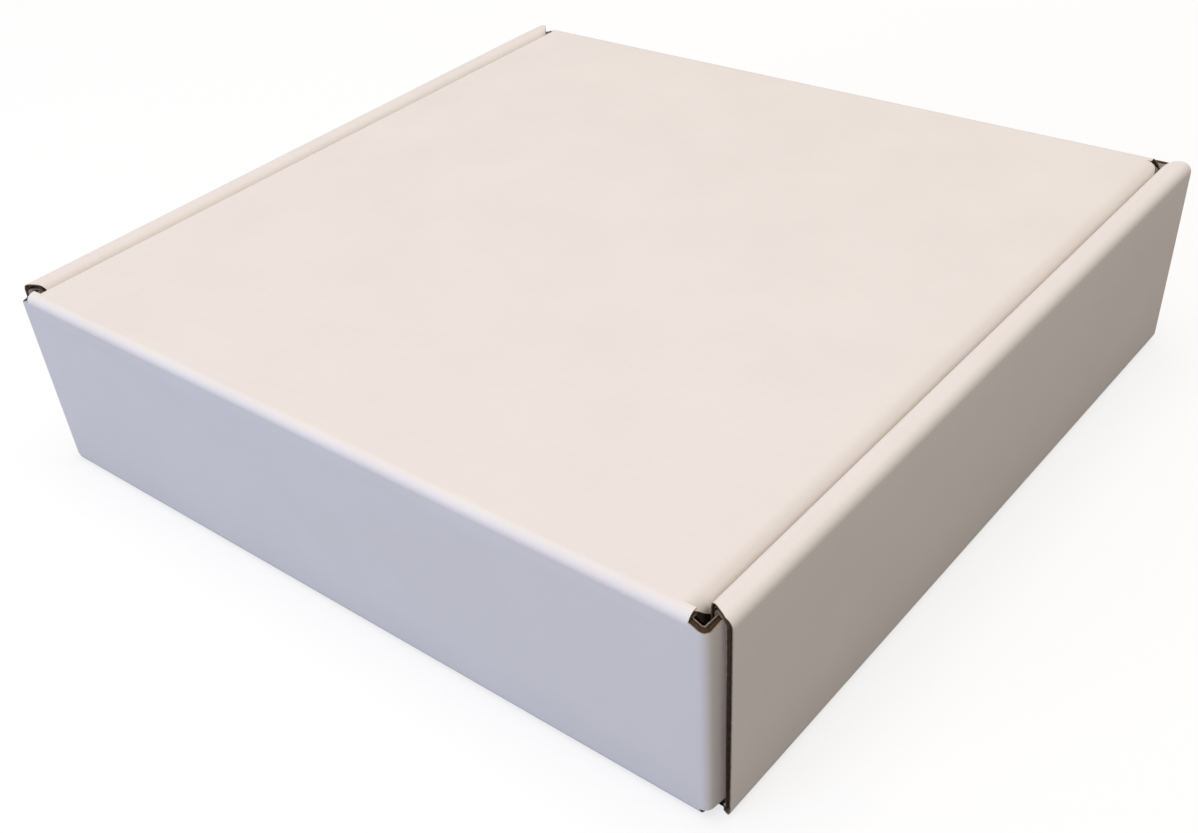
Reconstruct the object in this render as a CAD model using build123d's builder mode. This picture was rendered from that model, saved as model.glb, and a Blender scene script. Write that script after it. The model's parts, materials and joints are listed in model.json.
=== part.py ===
from build123d import *

import math
import os

# A corrugated mailer box: a tray with rolled side walls, and a lid that tucks in at the front.
#
# The whole box is one die-cut sheet of E-flute board, creased and folded with no glue. Each side
# wall goes up, over a narrow strip and down again, holds the end tabs of the front and back walls
# between its two layers, and locks into slots in the floor. The lid carries on from the top of the
# back wall, has a wing along each side and a tuck flap along the front, and swings on its crease.
#
# Axes: X across the box, Y from the front (-Y, the tuck flap) to the back (+Y, the crease), Z up.
# The origin is on the surface the box stands on, under the middle of the box. Sizes are in mm.

os.makedirs("parts", exist_ok=True)

# The sheet
board = 1.6  # E-flute board, two liners and the fluting between them
fold_inside = 0.8  # inside radius of every crease
fold_outside = fold_inside + board
fold_middle = fold_inside + board / 2

# The room inside the box
inside_width = 203.2  # between the inner layers of the side walls
inside_depth = 203.2  # between the back wall and the tuck flap's crease
inside_height = 49.0  # between the floor and the lid

# Clearances between the layers of the folded sheet
tab_outer_gap = 1.4  # between an end tab and the outer layer of a rolled wall
tab_inner_gap = 0.3  # between an end tab and the inner layer
lid_side_gap = 0.4  # between a wing of the lid and the rolled wall beside it
tuck_gap = 2.0  # between the tuck flap's crease and the front wall
tab_top_gap = 0.4  # between a strip and the top of the end tabs and the front wall
lock_gap = 0.3  # round each lock tab in its slot, and under the inner layers
crease_gap = 0.2  # where the lid's half of the crease is parted from the tray's

# Rolled side walls
strip_drop = 0.8  # how far the strips lie below the top of the lid
strip_width = 3 * board + tab_outer_gap + tab_inner_gap
roll_back_setback = 3.0  # from the back wall's outer face to the rolled wall's cut edge
roll_front_setback = 2.4  # the same at the front
roll_slant = 2.2  # how much shorter the inner layer is at each end, along the slanted strip ends
lock_width = 28.0
lock_spacing = 104.0  # between the middles of the two lock tabs of one wall

# End tabs of the front and back walls
tab_length = 62.0
tab_taper = 7.0

# Lid
wing_drop = 38.0  # how far a wing hangs below the top of the lid
wing_back_setback = 5.0  # from the back wall's outer face to the wing's cut edge
wing_front_setback = 2.6  # from the lid's front crease to the wing's cut edge
wing_taper = 16.0  # how far the wing's free edge is cut back along the box
wing_taper_drop = 26.0  # how much of the wing's end that cut takes up
tuck_drop = 38.0  # length of the tuck flap
tuck_lean = 4.0  # degrees that the tuck flap leans in from upright
tuck_crease_setback = 3.2  # from the lid's side to the end of the flap's crease
tuck_shoulder = 2.4  # height of the sloping shoulder from there out to the flap's full width
tuck_side_setback = 0.2  # from the lid's side to the flap's side, below the shoulder
tuck_full_drop = 8.0  # how far down the flap keeps that width
tuck_taper_drop = 6.0  # how much further down it has drawn in to its narrow part
tuck_narrow_setback = 3.6  # from the lid's side to the narrow part, which goes between the wings
tuck_corner = 12.0

# Outer sizes that follow
box_width = inside_width + 2 * strip_width
box_depth = board + inside_depth + board + tuck_gap + board
lid_top = board + inside_height + board
strip_top = lid_top - strip_drop
half_width = box_width / 2
half_depth = box_depth / 2
wall_top = strip_top - board - tab_top_gap  # cut top edge of the front wall and of the end tabs
roll_middle = (roll_front_setback - roll_back_setback) / 2
roll_length = box_depth - roll_front_setback - roll_back_setback

# Middles of the layers
outer_layer_x = half_width - board / 2
tab_x = outer_layer_x - board - tab_outer_gap
inner_layer_x = tab_x - board - tab_inner_gap
end_wall_y = half_depth - board / 2
roll_floor_half = half_width - fold_outside
end_floor_half = tab_x + board / 2 - fold_outside
lock_places = [(inner_layer_x, -lock_spacing / 2), (inner_layer_x, lock_spacing / 2)]
slot_places = lock_places + [(-x, y) for x, y in lock_places]

# The lid's crease: the board bends about the middle of this arc, and parts at half the bend
crease_y = half_depth - fold_outside
crease_z = lid_top - fold_outside
crease_part = 45 - math.degrees(crease_gap / 2 / fold_middle)

# The lid
lid_half = inside_width / 2 - lid_side_gap
lid_front = board + tuck_gap - half_depth  # outer face of the front crease
lid_middle_z = lid_top - board / 2
wing_x = lid_half - board / 2
wing_start = half_depth - wing_back_setback
wing_end = lid_front + wing_front_setback
wing_low = lid_top - wing_drop
tuck_half = lid_half - tuck_side_setback
tuck_narrow_half = lid_half - tuck_narrow_setback
tuck_narrow_z = lid_top - tuck_full_drop - tuck_taper_drop
tuck_front_y = lid_front + board / 2
tuck_end_y = tuck_front_y + tuck_drop * math.sin(math.radians(tuck_lean))
tuck_end_z = lid_middle_z - tuck_drop * math.cos(math.radians(tuck_lean))

# Front wall, back wall and floor between them: one strip of board from edge to edge
with BuildPart() as end_strip:
    with BuildSketch(Plane.YZ.offset(-end_floor_half)):
        with BuildLine():
            FilletPolyline(
                (-end_wall_y, wall_top),
                (-end_wall_y, board / 2),
                (end_wall_y, board / 2),
                (end_wall_y, wall_top),
                radius=fold_middle,
            )
        trace(line_width=board)
    extrude(amount=2 * end_floor_half)

# The front wall turns in at both ends, as tabs that stand inside the rolled walls
with BuildPart() as front_tabs:
    with BuildSketch(Plane.XY.offset(fold_outside)):
        with BuildLine():
            FilletPolyline(
                (-tab_x, tab_length - half_depth),
                (-tab_x, -end_wall_y),
                (tab_x, -end_wall_y),
                (tab_x, tab_length - half_depth),
                radius=fold_middle,
            )
        trace(line_width=board)
    extrude(amount=wall_top - fold_outside)
    chamfer(front_tabs.edges().filter_by(Axis.X).group_by(Axis.Y)[-1], length=tab_taper)

# One side wall: up from the floor, over the strip and down, with lock tabs along its free edge
with BuildPart() as rolled_wall:
    with BuildSketch(Plane.XZ.offset(-roll_middle - roll_length / 2)):
        with BuildLine():
            FilletPolyline(
                (roll_floor_half - board, board / 2),
                (outer_layer_x, board / 2),
                (outer_layer_x, strip_top - board / 2),
                (inner_layer_x, strip_top - board / 2),
                (inner_layer_x, board + lock_gap),
                radius=fold_middle,
            )
        trace(line_width=board)
    extrude(amount=roll_length)
    with BuildSketch(Plane.XY):
        with BuildLine():
            Polyline(
                (half_width - board, roll_middle - roll_length / 2),
                (inside_width / 2, roll_middle - roll_length / 2 + roll_slant),
                (inside_width / 2, roll_middle + roll_length / 2 - roll_slant),
                (half_width - board, roll_middle + roll_length / 2),
                (half_width, roll_middle + roll_length / 2),
                (half_width, roll_middle - roll_length / 2),
                close=True,
            )
        make_face()
    extrude(amount=strip_top, mode=Mode.INTERSECT)
    with BuildSketch(Plane.XY.offset(lock_gap)):
        with Locations(lock_places):
            Rectangle(board, lock_width)
    extrude(amount=2 * board)

with BuildPart() as tray:
    with BuildSketch(Plane.XY):
        with Locations((0, roll_middle)):
            Rectangle(2 * roll_floor_half, roll_length)
    extrude(amount=board)
    add(end_strip.part)
    with BuildSketch(Plane.XY):
        with Locations(slot_places):
            Rectangle(board + 2 * lock_gap, lock_width + 2 * lock_gap)
    extrude(amount=board, mode=Mode.SUBTRACT)
    add(front_tabs.part)
    mirror(front_tabs.part, about=Plane.XZ)
    add(rolled_wall.part)
    mirror(rolled_wall.part, about=Plane.YZ)
    # the back wall runs on up into its half of the lid's crease
    with BuildSketch(Plane.YZ.offset(-lid_half)):
        with BuildLine():
            Line((end_wall_y, wall_top - board), (end_wall_y, crease_z))
            CenterArc((crease_y, crease_z), fold_middle, 0, crease_part)
        trace(line_width=board)
    extrude(amount=2 * lid_half)

tray.part.label = "tray"
export_step(tray.part, "parts/tray.step")

# The lid's half of the crease, at the full width of the lid
with BuildPart() as crease_strip:
    with BuildSketch(Plane.YZ.offset(-lid_half)):
        with BuildLine():
            CenterArc((crease_y, crease_z), fold_middle, 90, -crease_part)
            Line((crease_y, lid_middle_z), (wing_start - board, lid_middle_z))
        trace(line_width=board)
    extrude(amount=2 * lid_half)

# The panel and the two wings folded down from its sides, cut to their shape in side view
with BuildPart() as winged_panel:
    with BuildSketch(Plane.XZ.offset(-wing_start)):
        with BuildLine():
            FilletPolyline(
                (-wing_x, wing_low),
                (-wing_x, lid_middle_z),
                (wing_x, lid_middle_z),
                (wing_x, wing_low),
                radius=fold_middle,
            )
        trace(line_width=board)
    extrude(amount=wing_start - wing_end)
    with BuildSketch(Plane.YZ.offset(-lid_half)):
        with BuildLine():
            Polyline(
                (wing_start, lid_top),
                (wing_start, wing_low + wing_taper_drop),
                (wing_start - wing_taper, wing_low),
                (wing_end + wing_taper, wing_low),
                (wing_end, wing_low + wing_taper_drop),
                (wing_end, lid_top),
                close=True,
            )
        make_face()
    extrude(amount=2 * lid_half, mode=Mode.INTERSECT)

# The tuck flap folded down from the panel's front, cut to its shape in front view
with BuildPart() as tuck_flap:
    with BuildSketch(Plane.YZ.offset(-tuck_half)):
        with BuildLine():
            FilletPolyline(
                (wing_end + board, lid_middle_z),
                (tuck_front_y, lid_middle_z),
                (tuck_end_y, tuck_end_z),
                radius=fold_middle,
            )
        trace(line_width=board)
    extrude(amount=2 * tuck_half)
    with BuildSketch(Plane.XZ.offset(-wing_end - board)):
        with BuildLine():
            Polyline(
                (0, lid_top),
                (lid_half - tuck_crease_setback, lid_top),
                (tuck_half, lid_top - tuck_shoulder),
                (tuck_half, lid_top - tuck_full_drop),
                (tuck_narrow_half, tuck_narrow_z),
                (tuck_narrow_half, 0),
                (0, 0),
            )
            mirror(about=Plane.YZ)
        make_face()
    extrude(amount=half_depth + wing_end + board, mode=Mode.INTERSECT)
    free_edge = tuck_flap.faces().sort_by(Axis.Z)[0]
    fillet(free_edge.edges().group_by(SortBy.LENGTH)[0], radius=tuck_corner)

with BuildPart() as lid:
    add(crease_strip.part)
    add(winged_panel.part)
    add(tuck_flap.part)

lid.part.label = "lid"
export_step(lid.part, "parts/lid.step")
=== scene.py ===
# %% [markdown]
# # A corrugated mailer box, folded from one sheet
#
# The real box is a single die-cut sheet of E-flute board. A machine glues a wavy paper, the
# fluting, between two flat papers, the liners, and a press cuts the outline and crushes the
# creases. Everything that makes a carton look real comes from that sandwich: soft folds, brown
# wavy edges where the sheet is cut, and very faint ribs on the flat faces.
#
# So this lesson doesn't carve a box out of blocks. It starts from one row of edges and walks it
# along the sheet, flat, fold, flat, fold, just as hands would fold it.

# %% Load the frame
import json
import math

import bmesh
import bpy
from mathutils import Matrix, Vector

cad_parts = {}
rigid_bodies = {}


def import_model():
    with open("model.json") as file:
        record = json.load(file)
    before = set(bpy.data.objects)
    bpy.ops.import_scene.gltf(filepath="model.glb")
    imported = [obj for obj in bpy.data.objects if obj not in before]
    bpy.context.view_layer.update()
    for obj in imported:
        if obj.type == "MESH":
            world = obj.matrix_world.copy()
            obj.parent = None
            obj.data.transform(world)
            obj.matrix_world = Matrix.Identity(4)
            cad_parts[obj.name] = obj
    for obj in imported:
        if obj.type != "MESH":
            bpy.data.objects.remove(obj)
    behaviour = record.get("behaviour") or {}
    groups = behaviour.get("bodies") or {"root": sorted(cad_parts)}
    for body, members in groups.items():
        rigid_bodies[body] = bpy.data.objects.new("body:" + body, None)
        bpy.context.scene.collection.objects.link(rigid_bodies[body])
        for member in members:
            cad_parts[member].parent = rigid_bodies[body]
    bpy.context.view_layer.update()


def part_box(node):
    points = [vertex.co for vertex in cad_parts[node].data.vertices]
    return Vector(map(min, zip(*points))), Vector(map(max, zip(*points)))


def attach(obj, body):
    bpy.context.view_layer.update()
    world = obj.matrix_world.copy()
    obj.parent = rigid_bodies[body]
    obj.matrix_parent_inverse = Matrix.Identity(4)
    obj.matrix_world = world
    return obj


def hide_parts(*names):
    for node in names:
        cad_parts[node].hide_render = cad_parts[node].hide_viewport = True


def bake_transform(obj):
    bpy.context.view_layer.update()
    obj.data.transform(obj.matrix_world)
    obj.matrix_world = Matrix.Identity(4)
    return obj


for left_over in list(bpy.data.objects):
    bpy.data.objects.remove(left_over)
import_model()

# %% [markdown]
# ## Sizes
#
# The frame gives the outer sizes, so the looks stay with the part that moves. The make-up of
# the board is added here: E-flute is 1.6 mm thick, and its waves are 3.2 mm long.

# %% Sizes of the board and of the box
MM = 0.001
BOARD = 1.6 * MM
LINER = 0.24 * MM
FLUTING = 0.18 * MM
FLUTE_LENGTH = 3.2 * MM
CREASE_INSIDE = 0.8 * MM
CREASE_OUTSIDE = CREASE_INSIDE + BOARD
LID_GAP = 0.4 * MM
CELL = 12.0 * MM
SAME = 0.01 * MM

tray_low, tray_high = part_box("tray")
lid_low, lid_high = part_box("lid")
half_width, half_depth, strip_top = tray_high
lid_half, lid_top, lid_front = lid_high.x, lid_high.z, lid_low.y
inside_half = lid_half + LID_GAP
print("box", [round(v / MM, 1) for v in (2 * half_width, 2 * half_depth, lid_top)], "mm")

# %% [markdown]
# ## Walking along the sheet
#
# A fold in board is not a sharp line: the inner face turns on a small radius and the outer face
# on a larger one. A walk holds a row of edges, the way it is heading and the side that faces
# outwards. Each push extrudes the row by one step and notes, in an attribute called blank, where
# the new points lie on the flat sheet. The same walk makes the outer liner, the fluting and the
# inner liner. Only the offset from the middle of the board changes, and with it the fold radius.

# %% The walk
X, Y, Z = Vector((1, 0, 0)), Vector((0, 1, 0)), Vector((0, 0, 1))


class Walk:
    """A row of edges that makes sheet as it moves."""

    def __init__(self, bm, edges, heading, outward, along, offset, cell):
        self.bm, self.edges, self.offset, self.cell = bm, edges, offset, cell
        self.heading, self.outward, self.along = heading, outward, along

    def push(self, matrix, length):
        made = bmesh.ops.extrude_edge_only(self.bm, edges=self.edges)["geom"]
        fresh = {g for g in made if isinstance(g, bmesh.types.BMVert)}
        blank = self.bm.verts.layers.float_vector["blank"]
        for v in fresh:
            behind = next(e.other_vert(v) for e in v.link_edges if e.other_vert(v) not in fresh)
            v[blank] = behind[blank] + self.along * length
        bmesh.ops.transform(self.bm, matrix=matrix, verts=list(fresh))
        new_edges = [g for g in made if isinstance(g, bmesh.types.BMEdge)]
        self.edges = [e for e in new_edges if set(e.verts) <= fresh]

    def flat(self, length, cell=None):
        steps = max(1, round(length / (cell or self.cell)))
        for _ in range(steps):
            self.push(Matrix.Translation(self.heading * length / steps), length / steps)
        return self

    def fold(self, degrees=90, inside=CREASE_INSIDE, steps=8):
        middle = inside + BOARD / 2
        pivot = self.edges[0].verts[0].co - self.outward * (middle + self.offset)
        axis = self.outward.cross(self.heading)
        angle = math.radians(degrees)
        turn = Matrix.Rotation(angle / steps, 4, axis)
        for _ in range(steps):
            self.push(Matrix.Translation(pivot) @ turn @ Matrix.Translation(-pivot), angle * middle / steps)
        whole = Matrix.Rotation(angle, 3, axis)
        self.heading, self.outward = whole @ self.heading, whole @ self.outward
        return self


def start_row(bm, xs, y, z):
    blank = bm.verts.layers.float_vector.new("blank")
    verts = [bm.verts.new((x, y, z)) for x in xs]
    for v in verts:
        v[blank] = (v.co.x, v.co.y, 0)
    return [bm.edges.new(pair) for pair in zip(verts, verts[1:])]


def rim(bm, test):
    """The edges on the border of the sheet whose two ends both pass a test."""
    return [e for e in bm.edges if len(e.link_faces) < 2 and all(test(v.co) for v in e.verts)]


def near(a, b):
    return abs(a - b) < SAME


def faces_since(bm, known):
    """The faces made since the known ones were noted."""
    return [f for f in bm.faces if f not in known]


def cut(bm, faces, point, normal):
    """Cut faces along a plane, and drop what lies on the normal's side of it."""
    geom = set(faces) | {e for f in faces for e in f.edges} | {v for f in faces for v in f.verts}
    bmesh.ops.bisect_plane(bm, geom=list(geom), plane_co=point, plane_no=normal, clear_outer=True)


def spread(low, high, cell):
    """Evenly spaced stations from low to high."""
    steps = max(1, round((high - low) / cell))
    return [low + (high - low) * i / steps for i in range(steps + 1)]


# %% [markdown]
# ## The tray
#
# The floor is walked first, from the front crease to the back one. Its two ends fold up into the
# front and back walls, whose own ends turn in as tabs. Its two sides fold up, over the narrow
# strip and down again, and drop their lock tabs through slots in the floor.

# %% Sizes of the tray
WALL_TOP = strip_top - BOARD - 0.4 * MM
CREASE_FLAT = 4.0 * MM
STATION_GAP = 2.0 * MM
CORNER_INSIDE = 0.4 * MM
TAB_GAP = 1.4 * MM
TAB_LENGTH = 62.0 * MM
TAB_TAPER = 7.0 * MM
CORNER_TURN, TAB_EASE_INSIDE = 84, 8.0 * MM
TAB_STUB, TAB_START = 5.0 * MM, 9.0 * MM
ROLL_BACK = half_depth - 3.0 * MM
ROLL_FRONT = 2.4 * MM - half_depth
ROLL_SLANT, ROLL_FRONT_SLANT = 2.7 * MM, 6.0 * MM
ROLL_LEAN = 0.014
LOCK_GAP = 0.3 * MM
LOCK_FAR, LOCK_NEAR = 66.0 * MM, 38.0 * MM
floor_y = half_depth - CREASE_OUTSIDE
tab_x = half_width - 1.5 * BOARD - TAB_GAP
corner_x = tab_x - CORNER_INSIDE - BOARD / 2
roll_x = half_width - CREASE_OUTSIDE
slot_in, slot_out = inside_half - LOCK_GAP, inside_half + BOARD + LOCK_GAP
crease_z = lid_top - CREASE_OUTSIDE
print("walls up to", round(WALL_TOP / MM, 2), "mm, tabs", round(TAB_LENGTH / MM), "mm long")

# %% [markdown]
# The floor and the two end walls are one straight walk. The back wall stops where the crease sheet
# takes over, and only the stub at each side of it goes on up to a cut edge.

# %% Floor and end walls
def in_lock(y):
    return LOCK_NEAR - SAME < abs(y) < LOCK_FAR + SAME


def floor_and_end_walls(bm, offset, cell, row):
    middle = spread(-slot_in, slot_in, cell)
    inner = [x for x in middle if abs(x) < lid_half - STATION_GAP]
    xs = [-corner_x, -slot_in, -lid_half, *inner, lid_half, slot_in, corner_x]
    first = start_row(bm, xs, -floor_y, BOARD / 2 - offset)
    floor = Walk(bm, first, Y.copy(), -Z, Y.copy(), offset, row)
    margin, lock, between = floor_y - LOCK_FAR, LOCK_FAR - LOCK_NEAR, 2 * LOCK_NEAR
    for stretch in (margin, lock, between, lock, margin):
        floor.flat(stretch)

    for side, edges in ((-1, first), (1, floor.edges)):
        wall = Walk(bm, edges, Y * side, -Z, Y * side, offset, row).fold(steps=8)
        wall.flat(crease_z - CREASE_FLAT - CREASE_OUTSIDE)
        if side > 0:
            beside = lid_half - SAME
            wall.edges = [e for e in wall.edges if all(abs(v.co.x) > beside for v in e.verts)]
        wall.flat(WALL_TOP - crease_z + CREASE_FLAT)


# %% [markdown]
# Each end of an end wall turns the corner as a tab. A crease never quite reaches a right angle, so
# the tab turns most of the way at the corner and eases in over the next few millimetres.

# %% End tabs
def end_tabs(bm, offset, cell):
    def in_wall(place, side):
        return place.y * side > floor_y and place.z > CREASE_OUTSIDE - SAME

    for side in (-1, 1):
        for end in (-1, 1):
            tab_rim = rim(bm, lambda p: near(p.x, end * corner_x) and in_wall(p, side))
            known = set(bm.faces)
            tab = Walk(bm, tab_rim, X * end, Y * side, X * end, offset, cell)
            tab.fold(CORNER_TURN, CORNER_INSIDE).flat(TAB_STUB, TAB_STUB / 2)
            tab.fold(90 - CORNER_TURN, TAB_EASE_INSIDE, 3).flat(TAB_LENGTH - TAB_START)
            for level, slope in ((CREASE_OUTSIDE, -1), (WALL_TOP, 1)):
                at = Vector((0, side * (half_depth - TAB_LENGTH + TAB_TAPER), level))
                cut(bm, faces_since(bm, known), at, Vector((0, -side, slope)))


# %% [markdown]
# A side wall rolls over: up, across the strip and down again, with its two ends cut at a slant. Only
# the lock tabs go on down from its free edge, into slots cut in the floor.

# %% Rolled walls and slots
def rolled_walls(bm, offset, cell):
    def on_floor(place):
        return abs(place.y) < floor_y + SAME and place.z < BOARD

    for end in (-1, 1):
        side_rim = rim(bm, lambda p: near(p.x, end * corner_x) and on_floor(p))
        roll = Walk(bm, side_rim, X * end, -Z, X * end, offset, cell)
        roll.flat(slot_out - corner_x).flat(roll_x - slot_out)
        known = set(bm.faces)
        roll.fold(steps=8).flat(strip_top - 2 * CREASE_OUTSIDE).fold(steps=10)
        roll.flat(half_width - inside_half - 2 * CREASE_OUTSIDE)
        roll.fold(steps=8).flat(strip_top - CREASE_OUTSIDE - BOARD - LOCK_GAP)
        roll.edges = [e for e in roll.edges if all(in_lock(v.co.y) for v in e.verts)]
        roll.flat(BOARD)
        slant_width = half_width - BOARD - inside_half
        back_y, front_y = ROLL_BACK - ROLL_LEAN * strip_top, ROLL_FRONT + ROLL_LEAN * strip_top
        for point, normal in (
            ((0, ROLL_BACK, 0), (0, 1, ROLL_LEAN)),
            ((0, ROLL_FRONT, 0), (0, -1, ROLL_LEAN)),
            ((end * (half_width - BOARD), back_y, 0), (-end * ROLL_SLANT, slant_width, 0)),
            ((end * (half_width - 2 * BOARD), front_y, 0), (-end * ROLL_FRONT_SLANT, -slant_width, 0)),
        ):
            cut(bm, faces_since(bm, known), Vector(point), Vector(normal))


def lock_slots(bm, offset):
    def in_slot(place):
        return slot_in < abs(place.x) < slot_out and in_lock(place.y)

    floor_z = BOARD / 2 - offset
    level = [f for f in bm.faces if all(near(v.co.z, floor_z) for v in f.verts)]
    slots = [f for f in level if in_slot(f.calc_center_median())]
    bmesh.ops.delete(bm, geom=slots, context="FACES")


def tray_sheet(offset, cell, row):
    """The tray's surface at an offset from the middle of the board, outwards positive."""
    bm = bmesh.new()
    floor_and_end_walls(bm, offset, cell, row)
    end_tabs(bm, offset, cell)
    rolled_walls(bm, offset, cell)
    lock_slots(bm, offset)
    return bm


# %% [markdown]
# ## The crease that the lid swings on
#
# A short piece of sheet joins the back wall to the lid. It is kept apart from both, and it reaches
# a little way along the flat of each, so that the shading runs across the joins without a seam.
# On the real box it is the only stretch that bends when the box opens.

# %% The crease sheet
WING_BACK = half_depth - 2.8 * MM


def crease_sheet(offset, cell, row):
    bm = bmesh.new()
    xs = spread(-lid_half, lid_half, cell)
    first = start_row(bm, xs, half_depth - BOARD / 2 + offset, crease_z - CREASE_FLAT)
    crease = Walk(bm, first, Z.copy(), Y.copy(), Y.copy(), offset, row)
    crease.flat(CREASE_FLAT).fold(steps=18).flat(floor_y - WING_BACK)
    return bm


# %% [markdown]
# ## The lid
#
# The panel is walked from the crease to the front. A wing folds down from each side, on a softer
# bend than the others because it was never pressed flat, and a tuck flap folds down in front,
# leaning in a little and rounded at its corners so that it finds its way behind the front wall.

# %% The lid sheet
WING_FRONT = lid_front + 3.4 * MM
WING_INSIDE = 1.9 * MM
WING_DROP = 38.0 * MM
WING_TOP_ROW = 3.0 * MM
RELIEF_START, RELIEF_DOWN, RELIEF = 2.3 * MM, 4.6 * MM, 6.2 * MM
WING_TAPER, WING_TAPER_DROP = 16.0 * MM, 26.0 * MM
TUCK_CREASE, TUCK_HALF, TUCK_NARROW = lid_half - 2.0 * MM, lid_half - 0.2 * MM, lid_half - 3.6 * MM
TUCK_SHOULDER, TUCK_FULL, TUCK_TAPER, TUCK_END = 2.2 * MM, 5.6 * MM, 6.0 * MM, 24.0 * MM
NOTCH, TUCK_STUB = 0.05 * MM, 0.4 * MM
SHOULDER_START = 1.2 * MM
TUCK_LEAN = 4
TUCK_CORNER = 12.0 * MM
panel_x = lid_half - WING_INSIDE - BOARD
wing_low = lid_top - WING_DROP
print("wings", round(WING_DROP / MM), "mm down, panel", round(2 * panel_x / MM, 1), "mm across")


def tuck_reach(down):
    """How far out the side of the tuck flap is, at a distance down the sheet from the panel."""
    fold_start = WING_FRONT - lid_front - CREASE_OUTSIDE + SHOULDER_START
    shoulder = min(1, max(0, (down - fold_start) / TUCK_SHOULDER))
    taper = min(1, max(0, (down - fold_start - TUCK_SHOULDER - TUCK_FULL) / TUCK_TAPER))
    return TUCK_CREASE + (TUCK_HALF - TUCK_CREASE) * shoulder + (TUCK_NARROW - TUCK_HALF) * taper


# %% [markdown]
# A wing is cut back beside the crease and the tuck flap, so that it clears both as they turn.

# %% Wings
def wings(bm, offset, cell):
    for end in (-1, 1):
        known = set(bm.faces)
        side_rim = rim(bm, lambda p: near(p.x, end * panel_x))
        wing = Walk(bm, side_rim, X * end, Z.copy(), X * end, offset, cell)
        wing.fold(inside=WING_INSIDE, steps=12).flat(WING_TOP_ROW)
        wing.flat(WING_DROP - WING_INSIDE - BOARD - WING_TOP_ROW)
        blank = bm.verts.layers.float_vector["blank"]
        for v in {v for f in faces_since(bm, known) for v in f.verts}:
            relief = min(1, max(0, (abs(v[blank].x) - panel_x - RELIEF_START) / RELIEF_DOWN))
            if near(v.co.y, WING_BACK):
                v.co.y -= RELIEF * relief
            elif near(v.co.y, WING_FRONT):
                v.co.y += RELIEF * relief
            v[blank].y = v.co.y
        for y, side in ((WING_BACK - RELIEF, 1), (WING_FRONT + RELIEF, -1)):
            corner = Vector((0, y, wing_low + WING_TAPER_DROP))
            normal = Vector((0, side * WING_TAPER_DROP, -WING_TAPER))
            cut(bm, faces_since(bm, known), corner, normal)


# %% [markdown]
# The tuck flap carries the panel on over the front. Below a sloping shoulder it is as wide as the
# lid, then it draws in to pass between the wings, and its two corners are rounded.

# %% Tuck flap and the whole lid
def tuck_flap(bm, edges, offset, row):
    known = set(bm.faces)
    tuck = Walk(bm, edges, -Y, Z.copy(), -Y, offset, row)
    tuck.flat(NOTCH).flat(WING_FRONT - lid_front - CREASE_OUTSIDE - NOTCH).fold(90 + TUCK_LEAN, steps=10)
    tuck.flat(TUCK_STUB).flat(TUCK_FULL).flat(TUCK_TAPER).flat(TUCK_END)
    tip = tuck.edges[0].verts[0].co
    blank = bm.verts.layers.float_vector["blank"]
    for v in {v for f in faces_since(bm, known) for v in f.verts}:
        if near(abs(v.co.x), panel_x) and v[blank].y < WING_FRONT - SAME:
            v.co.x = math.copysign(tuck_reach(WING_FRONT - v[blank].y), v.co.x)
            v[blank].x = v.co.x
    for end in (-1, 1):
        centre = Vector((end * (TUCK_NARROW - TUCK_CORNER), tip.y, tip.z)) - tuck.heading * TUCK_CORNER
        for angle in range(15, 90, 15):
            turned = math.radians(angle)
            across = math.cos(turned) * X * end + math.sin(turned) * tuck.heading
            cut(bm, faces_since(bm, known), centre + across * TUCK_CORNER, across)


def lid_sheet(offset, cell, row):
    """The lid's surface at an offset from the middle of the board, outwards positive."""
    bm = bmesh.new()
    first = start_row(bm, spread(-panel_x, panel_x, cell), WING_BACK, lid_top - BOARD / 2 + offset)
    panel = Walk(bm, first, -Y, Z.copy(), -Y, offset, row).flat(WING_BACK - WING_FRONT)
    wings(bm, offset, cell)
    tuck_flap(bm, panel.edges, offset, row)
    return bm


# %% [markdown]
# ## Board that has been handled
#
# No folded box is exact. The side walls are very slightly bowed, the strips spring back up a
# little, and beside the crease the back wall's cut edge climbs from the corner to the lid. One
# smooth warp, the same for all the layers of the board, gives that. The lid stays as folded.

# %% The warp
WALL_BOW = 0.5 * MM
BOW_LENGTH = 2.1 * half_depth
SPRING_BACK = 0.7 * MM
SPRING_FROM = 0.3 * strip_top
SPRING_SIDE = 2.0 * MM
SPRING_END = 4.0 * MM
EDGE_CLIMB = 1.4 * MM


def ease(value, low, high):
    t = min(1, max(0, (value - low) / (high - low)))
    return t * t * (3 - 2 * t)


def handled_tray(co):
    out, from_end = abs(co.x), half_depth - abs(co.y)
    outer = ease(out, inside_half, half_width)
    bow = outer * math.cos(math.pi * co.y / BOW_LENGTH) * math.sin(math.pi * co.z / strip_top)
    spring = ease(out, lid_half - SPRING_SIDE, inside_half) * ease(co.z, SPRING_FROM, strip_top)
    rise = SPRING_BACK * spring * ease(from_end, BOARD, SPRING_END)
    if co.y > half_depth - 2 * BOARD and out > lid_half - SAME:
        beside_lid = max(0, (tab_x - out) / (tab_x - lid_half))
        rise += EDGE_CLIMB * beside_lid * ease(co.z, crease_z - CREASE_FLAT, WALL_TOP)
    return Vector((co.x + math.copysign(WALL_BOW * bow, co.x), co.y, co.z + rise))


def as_folded(co):
    return Vector(co)


# %% [markdown]
# ## From a surface to a board
#
# Three surfaces become one board. The outer and inner liners are thin shells that face outwards,
# white on the side that shows and raw kraft behind and along the cut. The fluting is the same
# sheet pushed up and down in a wave along the blank, so it runs straight through every fold and
# shows wherever the board is cut.

# %% Shells and fluting
FLUTE_STEPS = 6
WAVE = BOARD / 2 - LINER - FLUTING / 2
SHARP_ANGLE = math.radians(35)


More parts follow.
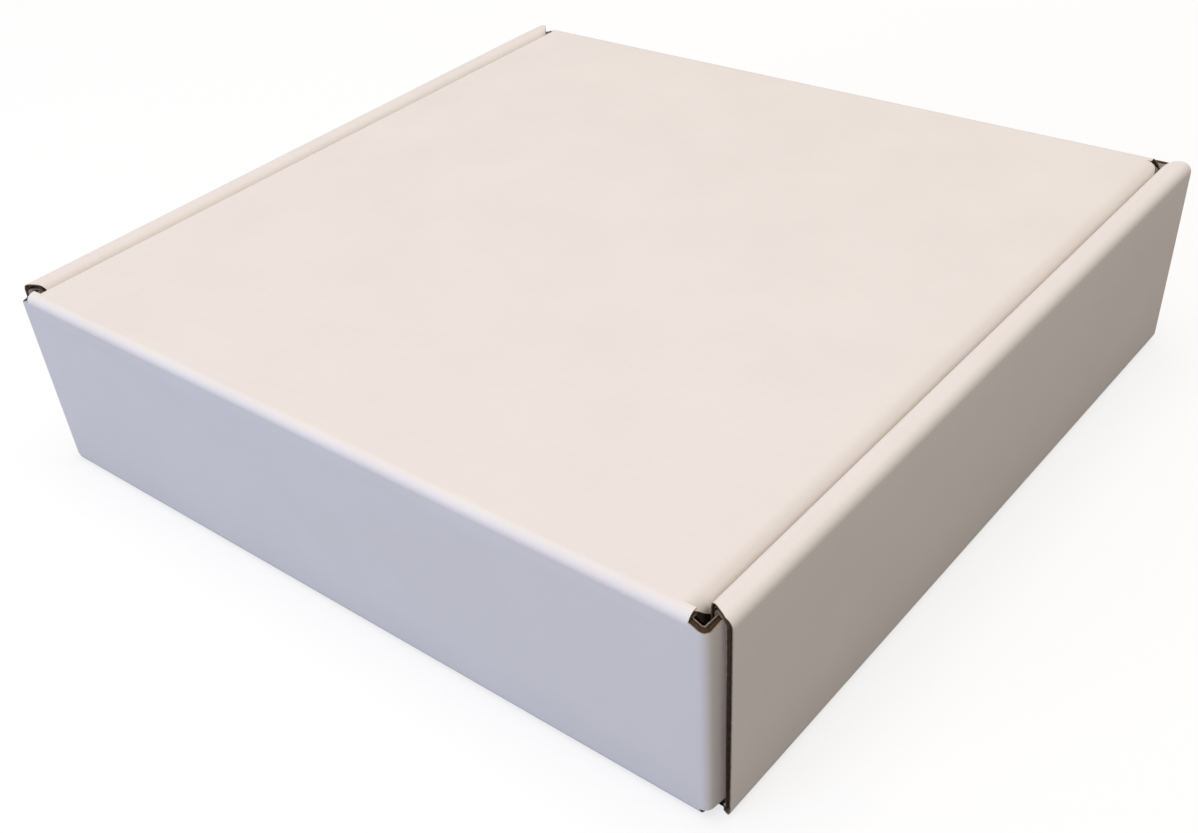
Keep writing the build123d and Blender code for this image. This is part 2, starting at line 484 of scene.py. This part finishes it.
def face_outwards(bm, seed_point, outward):
    bmesh.ops.recalc_face_normals(bm, faces=bm.faces)
    seed = min(bm.faces, key=lambda f: (f.calc_center_median() - seed_point).length)
    if seed.normal.dot(outward) < 0:
        bmesh.ops.reverse_faces(bm, faces=bm.faces)
    bm.normal_update()


def make_object(name, bm, thickness, offset, materials):
    mesh = bpy.data.meshes.new(name)
    bm.to_mesh(mesh)
    bm.free()
    piece = bpy.data.objects.new(name, mesh)
    bpy.context.scene.collection.objects.link(piece)
    for material in materials:
        mesh.materials.append(material)
    wall = piece.modifiers.new("thickness", "SOLIDIFY")
    wall.thickness, wall.offset = thickness, offset
    wall.material_offset = wall.material_offset_rim = len(materials) - 1
    ready = bpy.context.evaluated_depsgraph_get()
    solid = bpy.data.meshes.new_from_object(piece.evaluated_get(ready))
    solid.name = name
    piece.modifiers.clear()
    piece.data = solid
    solid.shade_smooth()
    solid.set_sharp_from_angle(angle=SHARP_ANGLE)
    print(name, len(solid.polygons), "faces")
    return piece


def make_board(name, sheet, handled, seed_point, outward, liner_materials, fluting_materials):
    """Outer liner, inner liner and fluting of one stretch of sheet."""
    made = []
    for layer, side in (("outer_liner", 1), ("inner_liner", -1)):
        bm = sheet(side * BOARD / 2, CELL, CELL)
        face_outwards(bm, seed_point, outward * side)
        for v in bm.verts:
            v.co = handled(v.co)
        made.append(make_object(f"{name}_{layer}", bm, LINER, -1, liner_materials))
    bm = sheet(0, CELL, FLUTE_LENGTH / FLUTE_STEPS)
    face_outwards(bm, seed_point, outward)
    blank = bm.verts.layers.float_vector["blank"]
    turn = 2 * math.pi / FLUTE_LENGTH
    lifted = {v: v.co + v.normal * WAVE * math.sin(turn * v[blank].y) for v in bm.verts}
    for v, place in lifted.items():
        v.co = handled(place)
    made.append(make_object(f"{name}_fluting", bm, FLUTING, 0, fluting_materials))
    return made


# %% [markdown]
# ## Materials
#
# Three papers make the board: a white-topped liner on the faces, raw kraft behind it and along
# the cut, and a darker kraft for the fluting.

# %% Colours and the node helper
def linear(code):
    """An sRGB hex colour as linear red, green, blue and alpha."""
    parts = [int(code[i : i + 2], 16) / 255 for i in (1, 3, 5)]
    return (*[p / 12.92 if p <= 0.04045 else ((p + 0.055) / 1.055) ** 2.4 for p in parts], 1)


def add(tree, kind, links=None, **settings):
    """Add a node, set it and its sockets, and link it."""
    made = tree.nodes.new(kind)
    for key, value in settings.items():
        setattr(made, key, value)
    for key, value in (links or {}).items():
        if isinstance(value, bpy.types.NodeSocket):
            tree.links.new(value, made.inputs[key])
        else:
            made.inputs[key].default_value = value
    return made


def new_material(name):
    material = bpy.data.materials.new(name)
    material.use_nodes = True
    material.node_tree.nodes.clear()
    return material, material.node_tree


def noise(tree, place, size, detail, roughness):
    """Noise about as coarse as a size."""
    links = {"Vector": place, "Scale": 1 / size, "Detail": detail, "Roughness": roughness}
    return add(tree, "ShaderNodeTexNoise", links).outputs["Fac"]


def two_tones(tree, value, low, dark, high, light):
    """A colour that goes from dark to light as a value goes from low to high."""
    ramp = add(tree, "ShaderNodeValToRGB", {"Fac": value})
    first, last = ramp.color_ramp.elements
    first.position, first.color = low, linear(dark)
    last.position, last.color = high, linear(light)
    return ramp.outputs["Color"]


def paper(tree, colour, bump, roughness):
    """The surface of a paper, and the end of its material."""
    links = {"Base Color": colour, "Normal": bump.outputs["Normal"], "Roughness": roughness, "IOR": 1.45}
    shader = add(tree, "ShaderNodeBsdfPrincipled", links)
    add(tree, "ShaderNodeOutputMaterial", {"Surface": shader.outputs["BSDF"]})


# %% [markdown]
# The white liner is bleached kraft with a thin clay wash. It is matt, a touch warm, and clouded on
# the scale of a thumb where the fibres lie thicker. The ribs of the fluting print through it as
# ripples far too small to see except in grazing light.

# %% White liner
CLOUD = 30 * MM
FIBRE = 0.7 * MM
RIB_HEIGHT = 0.008 * MM


def white_liner():
    material, tree = new_material("white_clay_washed_liner")
    blank = add(tree, "ShaderNodeAttribute", attribute_name="blank").outputs["Vector"]
    clouds = noise(tree, blank, CLOUD, 4.0, 0.6)
    fibres = noise(tree, blank, FIBRE, 3.0, 0.7)
    shade = add(tree, "ShaderNodeMix", {"Factor": 0.25, "A": clouds, "B": fibres}).outputs["Result"]
    colour = two_tones(tree, shade, 0.35, "#E9E1DB", 0.65, "#ECE5DF")
    along = add(tree, "ShaderNodeSeparateXYZ", {"Vector": blank}).outputs["Y"]
    turns = add(tree, "ShaderNodeMath", {0: along, 1: 2 * math.pi / FLUTE_LENGTH}, operation="MULTIPLY")
    ribs = add(tree, "ShaderNodeMath", {0: turns.outputs[0]}, operation="SINE")
    heights = {0: fibres, 1: 1.5, 2: ribs.outputs[0]}
    grain = add(tree, "ShaderNodeMath", heights, operation="MULTIPLY_ADD").outputs[0]
    bump = add(tree, "ShaderNodeBump", {"Height": grain, "Strength": 0.6, "Distance": RIB_HEIGHT})
    paper(tree, colour, bump, 0.62)
    return material


# %% [markdown]
# Raw kraft is unbleached and fibrous, with no wash over it. The fluting is semichemical pulp,
# which is darker still. Both are quite matt.

# %% Raw kraft and fluting
FIBRE_HEIGHT = 0.05 * MM


def kraft(name, light, dark):
    material, tree = new_material(name)
    place = add(tree, "ShaderNodeTexCoord").outputs["Object"]
    fibres = noise(tree, place, FIBRE, 4.0, 0.7)
    colour = two_tones(tree, fibres, 0.3, dark, 0.7, light)
    bump = add(tree, "ShaderNodeBump", {"Height": fibres, "Strength": 0.8, "Distance": FIBRE_HEIGHT})
    paper(tree, colour, bump, 0.85)
    return material


white = white_liner()
raw_kraft = kraft("raw_kraft_liner_back", "#A8927A", "#6E5B48")
fluting_kraft = kraft("semichemical_fluting", "#5E4B3A", "#3A2D22")
print("materials", [m.name for m in (white, raw_kraft, fluting_kraft)])

# %% [markdown]
# ## Fold the box
#
# Each stretch of sheet is made three times over, once for each layer, and the tray and the lid ride on
# their bodies.

# %% Make the pieces
papers = ([white, raw_kraft], [fluting_kraft])
floor_seed = Vector((0, 0, BOARD / 2))
lid_seed = Vector((0, 0, lid_top))
crease_seed = Vector((0, half_depth, crease_z - CREASE_FLAT))
tray_pieces = make_board("tray", tray_sheet, handled_tray, floor_seed, -Z, *papers)
lid_pieces = make_board("lid", lid_sheet, as_folded, lid_seed, Z.copy(), *papers)
crease_pieces = make_board("crease", crease_sheet, as_folded, crease_seed, Y.copy(), *papers)

# %% [markdown]
# The tray and the lid ride on their own bodies. The crease lies between them, on no body of its own,
# from just past the back wall's flat to just short of the panel's.

# %% Put the pieces on their bodies
for piece in tray_pieces:
    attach(piece, "tray")
    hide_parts("tray")
for piece in lid_pieces:
    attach(piece, "lid")
    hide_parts("lid")
for piece in crease_pieces:
    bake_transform(piece)
print(len(tray_pieces + lid_pieces + crease_pieces), "pieces on their bodies")

# %% [markdown]
# ## Light, floor and camera
#
# The lid is lit from above by a warm ceiling, the back wall by a cooler window, and the side wall
# only by what is left, so the three faces of a white box read as cream, lavender and warm grey.

# %% Light
def area_light(name, place, target, size, power, colour):
    data = bpy.data.lights.new(name, "AREA")
    data.shape, data.size, data.energy = "SQUARE", size, power
    data.color = linear(colour)[:3]
    lamp = bpy.data.objects.new(name, data)
    lamp.location = place
    lamp.rotation_euler = (Vector(target) - Vector(place)).to_track_quat("-Z", "Y").to_euler()
    bpy.context.scene.collection.objects.link(lamp)
    return lamp


area_light("ceiling", (0.0, 0.1, 1.6), (0, 0, 0), 1.2, 13.3, "#FFF4E7")
area_light("window", (0.5, 1.7, 0.5), (0, 0.1, 0.02), 1.0, 15.0, "#ABC9FF")

world = bpy.data.worlds.new("room")
bpy.context.scene.world = world
world.use_nodes = True
world.node_tree.nodes.clear()
sky_tree = world.node_tree
sky_seen = add(sky_tree, "ShaderNodeLightPath").outputs["Is Camera Ray"]
room = add(sky_tree, "ShaderNodeBackground", {"Color": linear("#FFFDFB"), "Strength": 0.53})
backdrop = add(sky_tree, "ShaderNodeBackground", {"Color": (1, 1, 1, 1), "Strength": 1.0})
sky_parts = {0: sky_seen, 1: room.outputs[0], 2: backdrop.outputs[0]}
sky = add(sky_tree, "ShaderNodeMixShader", sky_parts)
add(sky_tree, "ShaderNodeOutputWorld", {"Surface": sky.outputs[0]})

# %% [markdown]
# The box stands on a white sheet. To the camera it is bright card, but the light that it throws
# back on the box is that of a greyer one, so the walls keep their shading.

# %% Floor
FLOOR_HALF = 6.0
FLOOR_DROP = 0.2 * MM
GLOW_SHARE, GLOW = 0.7, 1.05

floor_bm = bmesh.new()
bmesh.ops.create_grid(floor_bm, x_segments=1, y_segments=1, size=FLOOR_HALF)
floor_mesh = bpy.data.meshes.new("floor")
floor_bm.to_mesh(floor_mesh)
floor_bm.free()
floor = bpy.data.objects.new("floor", floor_mesh)
floor_mesh.transform(Matrix.Translation((0, 0, tray_low.z - FLOOR_DROP)))
bpy.context.scene.collection.objects.link(floor)
floor_material, floor_tree = new_material("pale_paper_floor")
floor_seen = add(floor_tree, "ShaderNodeLightPath").outputs["Is Camera Ray"]
plain = add(floor_tree, "ShaderNodeBsdfPrincipled", {
    "Base Color": linear("#8F8A85"), "Roughness": 0.9, "Specular IOR Level": 0.0,
})
card = add(floor_tree, "ShaderNodeBsdfDiffuse", {"Color": linear("#F4F4F4")})
glow = add(floor_tree, "ShaderNodeEmission", {"Color": (1, 1, 1, 1), "Strength": GLOW})
shown_parts = {0: GLOW_SHARE, 1: card.outputs[0], 2: glow.outputs[0]}
shown = add(floor_tree, "ShaderNodeMixShader", shown_parts)
floor_parts = {0: floor_seen, 1: plain.outputs[0], 2: shown.outputs[0]}
surface = add(floor_tree, "ShaderNodeMixShader", floor_parts)
add(floor_tree, "ShaderNodeOutputMaterial", {"Surface": surface.outputs[0]})
floor_mesh.materials.append(floor_material)
print("floor at", round(floor_mesh.vertices[0].co.z / MM, 2), "mm")

# %% [markdown]
# The camera looks down on the back left corner, where the lid, the crease, a rolled wall and the
# raw edges can all be seen.

# %% Camera
CAMERA_PLACE = Vector((-203.2, 242.6, 213.9)) * MM
LOOK_AT = Vector((-42.4, 78.6, 26.0)) * MM
ROLL = math.radians(-6.4)
lens = bpy.data.cameras.new("camera")
lens.lens, lens.sensor_width, lens.sensor_fit = 41.3, 36.0, "HORIZONTAL"
lens.shift_x, lens.shift_y = 0.0507, 0.0933
lens.clip_start = 0.01
camera = bpy.data.objects.new("camera", lens)
bpy.context.scene.collection.objects.link(camera)
bpy.context.scene.camera = camera
aim = (LOOK_AT - CAMERA_PLACE).to_track_quat("-Z", "Y").to_matrix().to_4x4()
camera.matrix_world = Matrix.Translation(CAMERA_PLACE) @ aim @ Matrix.Rotation(ROLL, 4, "Z")
bpy.context.scene.view_settings.view_transform = "Standard"
print("camera", [round(v, 3) for v in camera.matrix_world.translation], "lens", lens.lens)
